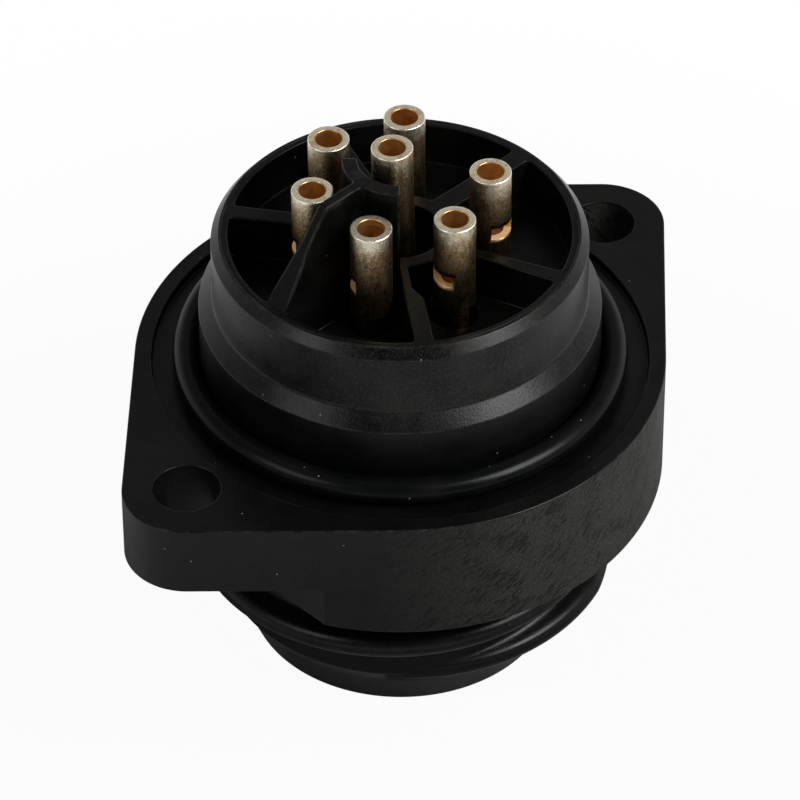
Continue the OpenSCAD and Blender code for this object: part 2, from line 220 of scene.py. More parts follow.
def piece(name, patches, node, mark="edge", finishes=None):
    """A finished piece from patches of (points in mm, faces, soft shading): their rims are merged
    where they meet, and the column after x, y and z becomes the attribute named by mark. finishes gives
    each patch the number of its material on the piece, and is left out where there is only one."""
    points = np.vstack([p for p, _, _ in patches])
    base = np.cumsum([0] + [len(p) for p, _, _ in patches])
    faces = [f for start, (_, grid, _) in zip(base, patches) for f in (grid + start).tolist()]
    soft = np.concatenate([np.full(len(grid), s) for _, grid, s in patches])
    finish = np.repeat(finishes or [0] * len(patches), [len(grid) for _, grid, _ in patches])
    mesh = bpy.data.meshes.new(name)
    mesh.from_pydata(points[:, :3] / 1000, [], faces)
    mesh.polygons.foreach_set("use_smooth", soft)
    mesh.polygons.foreach_set("material_index", finish.astype(np.int32))
    layer = mesh.attributes.new(mark, "FLOAT", "POINT")
    layer.data.foreach_set("value", points[:, 3].astype(np.float32))
    shell = bmesh.new()
    shell.from_mesh(mesh)
    bmesh.ops.remove_doubles(shell, verts=shell.verts, dist=merge_within)
    bmesh.ops.dissolve_degenerate(shell, edges=shell.edges, dist=1e-8)
    shell.to_mesh(mesh)
    shell.free()
    made = bpy.data.objects.new(name, mesh)
    bpy.context.scene.collection.objects.link(made)
    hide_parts(node)
    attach(made, "root")
    return made


def quarter_turns(points, normals):
    """A closed loop from its first quarter, which runs from the X axis to the Y axis: the quarter, then
    its mirror images in turn, each without the point that it shares with the one before."""
    signs = [(1, 1, 1), (-1, 1, -1), (-1, -1, 1), (1, -1, -1)]
    parts = [(points[::way][1:] * (sx, sy), normals[::way][1:] * (sx, sy)) for sx, sy, way in signs]
    return np.vstack([p for p, _ in parts]), np.vstack([n for _, n in parts])


# The flange's plan: round ear, straight flank that touches ear and disc, round disc. Columns of the
# flank stand at chosen polar angles, so that the boss below can use the same ones.
flank_turn = math.acos((flange_disc_r - ear_r) / screw_x)
boss_turn = math.acos(boss_flat_x / flange_disc_r)
ear_turns = np.linspace(0, flank_turn, 25)
ear_plan = ear_r * spokes(ear_turns) + (screw_x, 0)
ear_leaves_at = math.atan2(ear_plan[-1, 1], ear_plan[-1, 0])
flank_turns = np.linspace(ear_leaves_at, flank_turn, 40)[1:-1]
flank_turns = np.union1d(flank_turns[np.abs(flank_turns - boss_turn) > math.radians(1)],
                         boss_turn + np.radians([-0.8, -0.3, 0, 0.3, 0.8]))
flank_plan = (flange_disc_r / np.cos(flank_turn - flank_turns))[:, None] * spokes(flank_turns)
disc_turns = np.linspace(flank_turn, np.pi / 2, 46)
quarter_normals = spokes(np.concatenate([
    ear_turns, np.full(len(flank_turns), flank_turn), disc_turns]))
flange_loop, flange_normals = quarter_turns(
    np.vstack([ear_plan, flank_plan, flange_disc_r * spokes(disc_turns)]), quarter_normals)

# The boss has the disc's radius, cut off by the two flats
flange_angles = np.arctan2(flange_loop[:, 1], flange_loop[:, 0])
across = np.abs(np.cos(flange_angles))
on_flat = across > boss_flat_x / flange_disc_r + 1e-9
boss_reach = np.where(on_flat, boss_flat_x / np.maximum(across, 1e-6), flange_disc_r)
boss_spokes = spokes(flange_angles)
boss_loop = boss_reach[:, None] * boss_spokes
flat_normals = np.sign(boss_loop) * (1, 0)
boss_normals = np.where(on_flat[:, None], flat_normals, boss_spokes)
at_corner = np.isclose(across, boss_flat_x / flange_disc_r, atol=1e-6)
boss_normals[at_corner] = ((flat_normals + boss_spokes) / (1 + across[:, None]))[at_corner]

# Outside of flange and boss, from the boss's foot up: foot radius, boss wall, underside of the ears,
# their lower edge, flange wall, upper edge. Where flange and boss are flush, the underside has no
# width.
overhang = np.linalg.norm(flange_loop - boss_loop, axis=1)
lower_edge = np.minimum(flange_edge, overhang / 2)
foot_rows = carried(boss_loop, boss_normals, rounded(
    [[-1, boss_foot_z, 0], [0, boss_foot_z, mould_edge], [0, -flange_t - 0.2, 0]])[1:])
boss_top = np.dstack([boss_loop[None], np.full((1, len(boss_loop), 2), [-flange_t, 0])])
quarter = np.radians(np.linspace(0, 90, 6))
lower_in = lower_edge * (1 - np.sin(quarter))[:, None]
lower_up = lower_edge * (1 - np.cos(quarter))[:, None]
lower_bend = np.broadcast_to(np.sin(2 * quarter)[:, None] * (lower_edge > 0.02), lower_in.shape)
lower_rows = np.dstack([
    flange_loop[None] - lower_in[..., None] * flange_normals, lower_up - flange_t, lower_bend])
wall_rows = carried(flange_loop, flange_normals, rounded(
    [[0, -flange_t + 0.2, 0], [0, 0, flange_edge], [-1, 0, 0]])[:-1])
underside = np.concatenate([boss_top, lower_rows[:1]])
beside_ears = np.abs(np.abs(flange_angles) - np.pi / 2) > np.pi / 2 - boss_turn - 1e-6
filled = beside_ears & np.roll(beside_ears, -1)

housing_patches = [
    skin(np.concatenate([foot_rows, boss_top])),
    skin(underside, soft=False, only=~filled),
    skin(np.concatenate([lower_rows, wall_rows])),
]

# The screw holes, with a small radius at both ends, and the underside of each ear round its hole
screw_profile = rounded([
    [screw_hole_r + 1, 0, 0], [screw_hole_r, 0, screw_hole_edge],
    [screw_hole_r, -flange_t, screw_hole_edge], [screw_hole_r + 1, -flange_t, 0]])[1:-1]
hole_walls = []
for end in (-1, 1):
    wall = turned(screw_profile, 72)
    wall[..., 0] += end * screw_x
    hole_walls.append(wall)
    order = np.flatnonzero(filled & (flange_loop[:, 0] * end > 0))
    gaps = np.flatnonzero(np.diff(order) > 1)
    order = np.roll(order, -(gaps[0] + 1)) if len(gaps) else order
    order = np.append(order, (order[-1] + 1) % len(flange_loop))
    rim = np.vstack([underside[1, order, :2], underside[0, order[::-1], :2]])
    housing_patches += [skin(wall), level(-flange_t, rim, [wall[-1]], up=False)]

# Everything turned round the axis, from the edge of the seal recess over seat, collar and rim, down
# the bores and round the nose end to the top of the lip, in rows of radius, height and corner radius
thread_from_z = lip_top_z + thread_gap
thread_from_r = lip_r + thread_gap * (thread_root_r - lip_r) / (thread_root_z - lip_top_z)
turned_rows = turned(rounded([
    [recess_r + 0.2, 0, 0], [recess_r, 0, 0.07], [recess_r, recess_z, 0.1],
    [seat_r, recess_z, 0.12], [seat_r, seat_top_z, mould_edge], [collar_r, collar_foot_z, 0.3],
    [collar_r, rim_bevel_z, 0.07], [rim_bevel_r, rim_z, 0.06], [collar_bore_r, rim_z, 0.03],
    [collar_bore_r, shoulder_z, 0.08], [socket_r, shoulder_z, 0.08], [socket_r, nose_end_z, 0.15],
    [lip_end_r, nose_end_z, 0.18], [lip_r, lip_top_z, 0.07], [thread_from_r, thread_from_z, 0]]))
housing_patches += [
    skin(turned_rows),
    level(0, wall_rows[-1], [turned_rows[0], *(wall[0] for wall in hole_walls)]),
]


def ridge_height(x):
    """Half of the round thread's section: how high it stands above the root at the distance x along the
    axis from the crest line. Crest and root are arcs of one radius, joined by flanks of 15 degrees."""
    flank_at = math.radians(75)
    bend = thread_round * math.sin(flank_at)
    low = thread_round * (1 - math.cos(flank_at))
    high, half = thread_depth - low, thread_pitch / 2
    crest_arc, root_arc = (
        np.sqrt(np.maximum(thread_round**2 - np.minimum(off, bend)**2, 0)) for off in (x, half - x))
    crest, root = thread_depth - thread_round + crest_arc, thread_round - root_arc
    flank = high + (low - high) * (x - bend) / (half - 2 * bend)
    return np.where(x < bend, crest, np.where(x < half - bend, flank, root))


def thread_reach(angle, z):
    """Radius of the nose at an angle in degrees and a height: the larger of the plain nose and of each
    turn of the ridge, which stands root + height * rise - sunk * (1 - rise), and is narrower by half of
    what it still has to rise. rise goes from 0 to 1 over the first and the last stretch of the turn."""
    reach = np.interp(z, [lip_top_z, thread_root_z], [lip_r, thread_root_r])
    for whole in range(-1, 3):
        t = (angle - thread_starts_at) % 360 + 360 * whole
        rise = np.clip(np.minimum(t, thread_turn - t) / thread_fades_over, 0.05, 1)
        x = np.abs(z - first_crest_z - thread_pitch * t / 360) / (0.5 + 0.5 * rise)
        height = ridge_height(np.minimum(x, ridge_half_w))
        ridge = thread_root_r + height * rise - thread_sunk * (1 - rise)
        on_ridge = (t >= 0) & (t <= thread_turn) & (x <= ridge_half_w)
        reach = np.where(on_ridge, np.maximum(reach, ridge), reach)
    return reach


nose_z = np.linspace(thread_from_z, boss_foot_z, 92)[:, None]
nose_angle = np.linspace(0, 360, spokes_round, endpoint=False)[None]
nose_r = thread_reach(nose_angle, nose_z)
crest_mark = 2 * np.clip((nose_r - thread_root_r) / thread_depth - crest_share, 0, 1 - crest_share)
nose_rows = np.dstack([
    nose_r * np.cos(np.radians(nose_angle)), nose_r * np.sin(np.radians(nose_angle)),
    np.broadcast_to(nose_z, nose_r.shape), crest_mark])
housing_patches += [skin(nose_rows), level(boss_foot_z, foot_rows[0], [nose_rows[-1]], up=False)]

# The key: a bar along the socket's wall, sunk into the wall behind it
key_plan = rounded([
    [key_top_r, -key_w / 2, key_corner], [socket_r + key_sunk, -key_w / 2, key_corner],
    [socket_r + key_sunk, key_w / 2, key_corner], [key_top_r, key_w / 2, key_corner]])[:, :2]
key_rows = carried(key_plan, outward(key_plan), rounded([
    [-key_corner, key_from_z, 0], [0, key_from_z, key_edge],
    [0, key_to_z, key_edge], [-key_corner, key_to_z, 0]], lead=close_lead)[1:-1])
housing_patches += [
    skin(key_rows),
    level(key_from_z, key_rows[0], up=False),
    level(key_to_z, key_rows[-1]),
]

housing = piece("housing_moulding", housing_patches, "housing")


def linear(colour):
    """An sRGB hex colour as linear red, green, blue and alpha: each channel c becomes c / 12.92 below
    0.04045, and ((c + 0.055) / 1.055) to the power 2.4 above."""
    channels = [int(colour[i:i + 2], 16) / 255 for i in (1, 3, 5)]
    return [c / 12.92 if c <= 0.04045 else ((c + 0.055) / 1.055) ** 2.4 for c in channels] + [1.0]


def add(owner, kind, *values, **named):
    """Adds one shader node to a material or world and gives it. Its inputs are set in order by values,
    or by name with a capital and _ for a space: a node's first output or a socket is linked, and
    anything else is set as the value. The node's own settings are named in small letters."""
    made = owner.node_tree.nodes.new("ShaderNode" + kind)
    inputs = dict(enumerate(values))
    for name, value in named.items():
        if name[0].isupper():
            inputs[name.replace("_", " ")] = value
        else:
            setattr(made, name, value)
    for key, value in inputs.items():
        if isinstance(value, bpy.types.Node):
            value = value.outputs[0]
        if isinstance(value, bpy.types.NodeSocket):
            owner.node_tree.links.new(value, made.inputs[key])
        else:
            made.inputs[key].default_value = value
    return made


def new_material(name):
    """A new material, the call that puts a node into it, and its object coordinates in metres."""
    made = bpy.data.materials.new(name)
    made.use_nodes = True
    made.node_tree.nodes.clear()
    return made, partial(add, made), add(made, "TexCoord").outputs["Object"]


polyamide_black = "#040504"
polyamide_cloud = "#161715"
polyamide_dragged = "#292a26"
polyamide_scuffed = "#3c3d3a"
dust_grey = "#6a6b65"

# Glass-filled polyamide as it leaves the mould: deep black and satin, with cloudy grey patches where
# the melt flowed. The flange's side carries a fibrous drag grain with slanted dark scratches, the cone
# over the seal seat is finely pitted and sparkles, and the sharpest edges are a little scuffed.
moulded, put, coords = new_material("moulded_glass_filled_polyamide")
place = put("SeparateXYZ", coords).outputs
level_part = put("CombineXYZ", place["X"], place["Y"])
reach = put("VectorMath", level_part, operation="LENGTH").outputs["Value"]
cloud = put("TexNoise", coords, Scale=1 / 0.0035, Detail=6.0, Roughness=0.66)
pits = put("TexNoise", coords, Scale=1 / 0.00013, Detail=3.0, Roughness=0.7)

# Where the drag grain is: the side of the flange and boss, fading out towards the left ear. The two
# numbers of a MapRange are the values that give To_Min and To_Max, which are 0 and 1 unless set.
below_recess = put("MapRange", place["Z"], -0.0006, -0.0008, To_Max=0.0014)
reach_on_side = put("Math", reach, below_recess)
far_out = put("MapRange", reach_on_side, 0.0141, 0.0143)
under_top = put("MapRange", place["Z"], -0.00002, -0.0002)
from_left = put("MapRange", place["X"], -0.0115, -0.0045, To_Min=0.1)
on_side = put("Math", far_out, under_top, operation="MULTIPLY")
dragged = put("Math", on_side, from_left, operation="MULTIPLY")

# The grain is drawn on the unrolled side: fuzz of 0.1 by 0.17 mm, and scratches of 0.13 by 1 mm, both
# rising to the right
angle = put("Math", place["Y"], place["X"], operation="ARCTAN2")
around = put("Math", angle, flange_disc_r / 1000, operation="MULTIPLY")
outwards = put("Math", place["Z"], reach)
unrolled = put("CombineXYZ", around, outwards)
fuzz_place = put(
    "Mapping", unrolled, Rotation=(0, 0, math.radians(38)), Scale=(0.00017, 0.0001, 1),
    vector_type="TEXTURE")
fuzz = put("TexNoise", fuzz_place, Scale=1.0, Detail=2.0, Roughness=0.7, Distortion=0.4)
sway = put("TexNoise", unrolled, Scale=1 / 0.0013, Detail=2.0)
swayed = put(
    "VectorMath", sway.outputs["Color"], (0.0008, 0.0008, 0), unrolled, operation="MULTIPLY_ADD")
scratch_place = put(
    "Mapping", swayed, Rotation=(0, 0, math.radians(42)), Scale=(0.001, 0.00013, 1),
    vector_type="TEXTURE")
scratches = put("TexNoise", scratch_place, Scale=1.0, Detail=2.0, Roughness=0.6, Distortion=0.5)
spread = put("TexNoise", coords, Scale=1 / 0.0016, Detail=3.0)
few = put("MapRange", spread, 0.42, 0.62, To_Min=0.12, To_Max=0.0)
scratch_sum = put("Math", scratches, few, operation="SUBTRACT")
scratched = put("MapRange", scratch_sum, 0.48, 0.54)
fuzzy = put("MapRange", fuzz, 0.38, 0.64, To_Min=0.35)
grain = put("Math", fuzzy, scratched, operation="SUBTRACT", use_clamp=True)
grain_here = put("Math", grain, dragged, operation="MULTIPLY")

# The pitted cone between the seal seat and the collar, and speckles there and on the walls
on_collar = put("MapRange", place["Z"], 0.003, 0.005, To_Min=0.1)
over_seat = put("MapRange", place["Z"], 0.0036, 0.0038)
below_collar = put("MapRange", place["Z"], 0.0049, 0.0045)
off_bore = put("MapRange", reach, 0.0100, 0.0103)
on_band = put("Math", over_seat, below_collar, operation="MULTIPLY")
on_cone = put("Math", on_band, off_bore, operation="MULTIPLY")
pit_depth = put("MapRange", on_cone, To_Min=0.3, To_Max=1.1)
on_walls = put("Math", on_collar, dragged, operation="MAXIMUM")
speckle = put("MapRange", pits, 0.48, 0.7, To_Max=on_walls)
speckle_here = put("Math", speckle, 0.28, operation="MULTIPLY")

# Scuffs along the edges in broken lines, flow clouds, and stray dust grains of up to 0.1 mm, wherever
# a cell's centre lies near the surface
edge = put("Attribute", attribute_name="edge").outputs["Fac"]
chafe = put("TexNoise", coords, Scale=1 / 0.0009, Detail=4.0, Roughness=0.7)
broken = put("MapRange", chafe, 0.4, 0.75, To_Max=0.4)
scuffed = put("Math", edge, broken, operation="MULTIPLY")
cloudy = put("MapRange", cloud, 0.42, 0.66, To_Max=on_collar)
grains = put("TexVoronoi", coords, Scale=1 / 0.0015)
dusty = put("MapRange", grains, 0.036, 0.02)
colour = linear(polyamide_black)
for share, tint in (
        (cloudy, polyamide_cloud), (grain_here, polyamide_dragged), (speckle_here, polyamide_scuffed),
        (scuffed, polyamide_scuffed), (dusty, dust_grey)):
    colour = put("MixRGB", share, colour, linear(tint))
gloss = put("MapRange", cloud, 0.35, 0.65, To_Min=0.25, To_Max=0.37)
rough = put("Math", dragged, 0.16, gloss, operation="MULTIPLY_ADD")
pitted = put("Math", pits, pit_depth, operation="MULTIPLY")
fine = put("Bump", Height=pitted, Strength=0.6, Distance=0.00002)
relief = put("Bump", Height=grain_here, Strength=0.8, Distance=0.00003, Normal=fine)
shader = put(
    "BsdfPrincipled", Base_Color=colour, Roughness=rough, IOR=1.5, Specular_IOR_Level=0.15,
    Normal=relief)
put("OutputMaterial", Surface=shader)
housing.data.materials.append(moulded)


# ---- Contact insert ----
# The black moulding that is pushed into the housing from the wiring side and holds the contacts: a
# front body with a keyway, a floor plate, and on it a ring, a hub and ribs that part the contacts,
# with one tall barrier. Polyamide, injection moulded, with less glass than the housing.

insert_ring_r = 9.75
cavity_r = 9.45
cavity_floor_z = 6.10
insert_body_r = 7.52
mating_face_z = -11.5
web_top_z = -9.5
throat_foot_z = -4.04
throat_r = 1.27
chamber_r = 1.47
land_hole_r = 1.03
hole_edge = 0.05
keyway_w = 2.12
keyway_r = 6.59

hub_r = 2.3
hub_outer_r = 3.15
contact_ring_r = 4.95
contact_turns = np.radians(42.5 + 55 * np.arange(6))
contact_places = contact_ring_r * spokes(contact_turns)
rib_t = 1.15
rib_foot_r = hub_outer_r - 0.425
rib_end_r = cavity_r + 0.15
slim_t = 0.5
waist_turn = 233.6
waist_wide = 1.035
pocket_corner = 0.25
stem_corner = 0.3
rim_wear = 0.3

barrier_top_z = 13.8
barrier_edge = 0.1
barrier_corner = 0.12
barrier_joint = 0.3
barrier_proud = 0.005
barrier_arc = 46
barrier_foot_w = 0.7
barrier_top_w = 0.3
barrier_draft_z = (9.16, 12.0)
rubbed_from_z = 9.5
ramp_foot = (9.45, 8.66)
ramp_slope = math.tan(math.radians(54))

earth_lean = math.radians(0.93)
earth_lean_turn = math.radians(135.6)
lean_pivot_z = -10.5


def rib_side(turn, side, outline):
    """Points of one side of a rib, from the hub out: outline gives distance along the rib and offset
    from its middle, which are turned to the rib's own angle. side is 1 for the left side and -1 for the
    right."""
    along, off = np.asarray(outline, float).T
    c, s = math.cos(math.radians(turn)), math.sin(math.radians(turn))
    return np.column_stack([along * c - side * off * s, along * s + side * off * c])


def cut_at(radius, a, b):
    """The point between a and b, or beyond them on their line, at a distance radius from the axis:
    the larger root of |a + t (b - a)| = radius."""
    d = b - a
    dot, long = a @ d, d @ d
    t = (-dot + math.sqrt(dot * dot - long * (a @ a - radius * radius))) / long
    return a + t * d


# The ribs counter-clockwise from +X: angle, and thickness at the hub and at the ring. Each becomes its
# angle with the outlines of its right and left side
ribs = []
for turn, inner, outer in (
        (0, 1.1 * rib_t, rib_t), (70, rib_t, rib_t), (125, 0.9 * rib_t, 0.9 * rib_t),
        (180, 2 * barrier_foot_w, 2 * barrier_foot_w), (waist_turn, waist_wide, waist_wide),
        (291, slim_t, 0.85 * rib_t)):
    flank = [[rib_foot_r, inner / 2], [rib_end_r, outer / 2]]
    ribs.append([turn, flank, flank])

# The fifth has a slim stem, and widens on its left from the ring of contacts on
stem_offset = slim_t - waist_wide / 2
ribs[4][2] = [
    [rib_foot_r, stem_offset], [contact_ring_r, stem_offset], [contact_ring_r + 1, waist_wide / 2],
    [rib_end_r, waist_wide / 2]]


def pocket(first, second):
    """Plan of the pocket between two ribs, counter-clockwise: along the ring, in along the second rib's
    right side, back round the hub, and out along the first rib's left side, with rounded corners."""
    left = rib_side(first[0], 1, first[2])
    right = rib_side(second[0], -1, second[1])
    corners = []
    for reach, leaving, meeting, flank, steps in (
            (cavity_r, left[-2:], right[-2:], right[-2:0:-1], 24),
            (hub_outer_r, right[:2], left[:2], left[1:-1], 9)):
        start, stop = cut_at(reach, *leaving), cut_at(reach, *meeting)
        turns = np.unwrap([math.atan2(start[1], start[0]), math.atan2(stop[1], stop[0])])
        space = math.copysign(0.4 / reach, turns[1] - turns[0])
        arc = reach * spokes(np.linspace(turns[0] + space, turns[1] - space, steps))
        for points, radius in (
                ([start], pocket_corner), (arc, 0), ([stop], pocket_corner), (flank, stem_corner)):
            corners += [[*point, radius] for point in points]
    return rounded(corners)[:, :2]


def leant(rows):
    """Leans points by the earth contact's small angle about the middle of the web: a turn about the
    level axis that stands square to the lean's direction."""
    turn = (Matrix.Rotation(earth_lean_turn, 3, "Z") @ Matrix.Rotation(earth_lean, 3, "Y")
            @ Matrix.Rotation(-earth_lean_turn, 3, "Z"))
    pivot = np.array([0, 0, lean_pivot_z])
    moved = rows.copy()
    moved[..., :3] = (rows[..., :3] - pivot) @ np.array(turn).T + pivot
    return moved


pocket_profile = rounded([
    [1, rim_z, 0], [0, rim_z, mould_edge], [0, cavity_floor_z, 0.12], [-1, cavity_floor_z, 0]])[1:-1]
pocket_profile[:, 2] *= rim_wear

# The contact holes, which narrow at the throat and the web; the last is the earth contact's and leans
contact_profile = rounded([
    [throat_r + 1, cavity_floor_z, 0], [throat_r, cavity_floor_z, 0.06],
    [throat_r, throat_foot_z, hole_edge], [chamber_r, throat_foot_z, hole_edge],
    [chamber_r, web_top_z, hole_edge], [land_hole_r, web_top_z, hole_edge],
    [land_hole_r, mating_face_z, hole_edge], [land_hole_r + 1, mating_face_z, 0]],
    lead=close_lead)[1:-1, :2]
contact_holes = [turned(contact_profile, 64) for _ in range(7)]
for hole, place in zip(contact_holes, contact_places):
    hole[..., :2] += place
contact_holes[6] = leant(contact_holes[6])
contact_holes[6][0, :, 2], contact_holes[6][-1, :, 2] = cavity_floor_z, mating_face_z
insert_patches = [skin(hole) for hole in contact_holes]

# The pockets between the ribs, and the round one inside the hub
pocket_plans = [pocket(first, second) for first, second in zip(ribs, ribs[1:] + ribs[:1])]
pocket_plans.append(hub_r * spokes(full_turn(96)))
pocket_tops = []
for plan, hole in zip(pocket_plans, contact_holes):
    walls = carried(plan, outward(plan), pocket_profile)
    pocket_tops.append(walls[0])
    insert_patches += [skin(walls), level(cavity_floor_z, walls[-1], [hole[0]])]

ring_rows = turned(rounded([
    [insert_ring_r - 1, shoulder_z, 0], [insert_ring_r, shoulder_z, 0.08],
    [insert_ring_r, rim_z, 0.04], [insert_ring_r - 1, rim_z, 0]], lead=close_lead)[1:-1, :2])
insert_patches += [skin(ring_rows), level(rim_z, ring_rows[-1], pocket_tops)]

# The front body's plan: a circle with the keyway at +X. Only the round part has the lead-in bevel.
keyway_turn = math.asin(keyway_w / 2 / insert_body_r)
round_turns = np.linspace(keyway_turn + 0.05, 2 * np.pi - keyway_turn - 0.05, 180)
mouth_x = insert_body_r * math.cos(keyway_turn)
body_plan = rounded([
    [keyway_r, keyway_w / 2, 0.15], [mouth_x, keyway_w / 2, 0.12],
    *([x, y, 0] for x, y in insert_body_r * spokes(round_turns)),
    [mouth_x, -keyway_w / 2, 0.12], [keyway_r, -keyway_w / 2, 0.15]])[:, :2]
bevelled = np.clip((np.linalg.norm(body_plan, axis=1) - insert_body_r + 0.08) / 0.06, 0, 1)[:, None]
body_rows = carried(body_plan, outward(body_plan) * bevelled, rounded([
    [-1, mating_face_z, 0], [-0.3, mating_face_z, 0.05], [0, mating_face_z + 0.3, 0.08],
    [0, shoulder_z, 0]], lead=close_lead)[1:])
insert_patches += [
    skin(body_rows),
    level(shoulder_z, ring_rows[0], [body_rows[-1]], up=False),
    level(mating_face_z, body_rows[0], [hole[-1] for hole in contact_holes], up=False),
]


def barrier_plan(z):
    """Plan of the barrier at a height, as (x, y, bend): an arc of the hub's ring with a blade out from
    its middle. The blade ends on the ramp, and thins evenly over its drafted stretch."""
    half = np.interp(z, barrier_draft_z, [barrier_foot_w, barrier_top_w]) + barrier_proud
    end = min(rib_end_r, ramp_foot[0] - (z - ramp_foot[1]) / ramp_slope)
    inner, outer = hub_r - barrier_proud, hub_outer_r + barrier_proud
    arc_end = math.radians(barrier_arc)
    meets = math.asin(half / outer)
    side = np.linspace(meets + 0.14, arc_end - 0.06, 8)
    back = np.linspace(arc_end - 0.09, -arc_end + 0.09, 16)
    corners = []
    for reach, turns, radius in (
            (inner, [-arc_end], barrier_corner), (outer, [-arc_end], barrier_corner),
            (outer, -side[::-1], 0), (outer, [-meets], barrier_joint),
            (None, [-half, half], barrier_corner), (outer, [meets], barrier_joint), (outer, side, 0),
            (outer, [arc_end], barrier_corner), (inner, [arc_end], barrier_corner), (inner, back, 0)):
        points = reach * spokes(turns) if reach else [[end, y] for y in turns]
        corners += [[*point, radius] for point in points]
    plan = rounded(corners)
    plan[:, :2] *= -1
    return plan


# The barrier and the raised arc of the hub, from below the floor up to the rounded top edge, with rows
# where its ramp, its draft and its wear begin and end. Its corners are marked for wear above the rim,
# and so is the top edge.
plain_z = [cavity_floor_z - 0.05, 8.35, 8.6, 9.11, 9.21, 10.2, 11.1, 11.95, 12.05, 12.9,
           barrier_top_z - barrier_edge - 0.05]
top_z = np.concatenate([plain_z, barrier_top_z - barrier_edge * (1 - np.sin(quarter))])
inset = np.concatenate([np.zeros(len(plain_z)), barrier_edge * (1 - np.cos(quarter))])
rubbed = np.concatenate([np.zeros(len(plain_z) + 1), np.ones(4), [0.5]])
barrier = []
for z, d, mark in zip(top_z, inset, rubbed):
    plan = barrier_plan(z)
    barrier.append(np.column_stack([
        plan[:, :2] - d * outward(plan[:, :2]), np.full(len(plan), z),
        np.maximum(plan[:, 2] * (z > rubbed_from_z), mark)]))
barrier = np.array(barrier)
insert_patches += [
    skin(barrier),
    level(top_z[0], barrier[0], up=False),
    level(barrier_top_z, barrier[-1]),
]

insert = piece("contact_insert_moulding", insert_patches, "contact_insert")

insert_black = "#030403"
insert_cloud = "#0b0b0a"
insert_scuffed = "#4d4e4a"

# Plain polyamide from a smoother mould: black and satin with soft flow clouds. The barrier's edges,
# which stand proud of the rim, are rubbed pale in short broken lines.
insert_moulded, put, coords = new_material("moulded_polyamide")
cloud = put("TexNoise", coords, Scale=1 / 0.0025, Detail=4.0, Roughness=0.6)
pits = put("TexNoise", coords, Scale=1 / 0.0003, Detail=3.0)
chafe = put("TexNoise", coords, Scale=1 / 0.0007, Detail=4.0, Roughness=0.7)
edge = put("Attribute", attribute_name="edge").outputs["Fac"]
broken = put("MapRange", chafe, 0.4, 0.66, To_Max=0.22)
scuffed = put("Math", edge, broken, operation="MULTIPLY")
cloudy = put("MapRange", cloud, 0.38, 0.68)
grains = put("TexVoronoi", coords, Scale=1 / 0.0015)
dusty = put("MapRange", grains, 0.032, 0.018)
colour = linear(insert_black)
for share, tint in ((cloudy, insert_cloud), (scuffed, insert_scuffed), (dusty, dust_grey)):
    colour = put("MixRGB", share, colour, linear(tint))
gloss = put("MapRange", cloud, 0.3, 0.7, To_Min=0.26, To_Max=0.38)
fine = put("Bump", Height=pits, Strength=0.25, Distance=0.00001)
shader = put(
    "BsdfPrincipled", Base_Color=colour, Roughness=gloss, IOR=1.5, Specular_IOR_Level=0.12, Normal=fine)
put("OutputMaterial", Surface=shader)
insert.data.materials.append(insert_moulded)


# ---- Crimp contacts ----
# Six contacts and the taller earth contact in the middle: a solid pin below, two collars with the
# groove for the clip, a thin neck and the crimp barrel with its inspection slot. Turned copper alloy
# with a thin silver plating, pushed in from the wiring side until the clip springs out.

pin_r = 0.8
pin_tip_z = -17.47
land_r = 0.97
land_foot_z = mating_face_z - 0.1
groove_foot_z = -8.0
rear_collar_z = -4.0
rear_collar_top_z = -2.5
barrel_r = 1.15
barrel_foot_z = 7.05
barrel_bevel = 0.2
barrel_top_z = 12.77
mouth_outer_edge = 0.07
mouth_inner_edge = 0.045
earth_rise = 1.8
earth_lead = 0.5
wire_bore_r = 0.75
slot_drop = 3.16
slot_height = 0.75
slot_half_w = 0.775
bore_below_slot = 0.05
slot_facing = [30, 50, 130, 136, 178, 271, 60]

slot_columns = 24
barrel_columns = 80
gather_over = 0.6


def column_turns(slot_turn, share):
    """Angles of the barrel's columns from the middle of the slot: those that span the slot take up the
    slot's own angle for a share of 1, and an even part of the turn for a share of 0."""
    even = (2 * np.arange(barrel_columns) - slot_columns) * np.pi / barrel_columns
    ahead = np.linspace(-slot_turn, slot_turn, slot_columns + 1)
    behind = np.linspace(slot_turn, 2 * np.pi - slot_turn, barrel_columns - slot_columns + 1)[1:-1]
    return share * np.concatenate([ahead, behind]) + (1 - share) * even


def barrel_rows(profile, slot_turn, facing, slot_foot_z, slot_top_z):
    """A profile of (radius, height, bend) turned into rows whose columns gather at the slot: fully
    between its foot and its top, and less over a short stretch above and below. The last value of each
    point is its distance below the barrel's mouth in mm."""
    far = np.maximum(np.maximum(slot_foot_z - profile[:, 1], profile[:, 1] - slot_top_z), 0)
    share = np.clip(1 - far / gather_over, 0, 1)
    turns = np.array([column_turns(slot_turn, s) for s in share]) + facing
    return np.dstack([
        profile[:, :1] * np.cos(turns), profile[:, :1] * np.sin(turns),
        np.broadcast_to(profile[:, 1:2], turns.shape),
        np.broadcast_to(slot_top_z + slot_drop - profile[:, 1:2], turns.shape)])


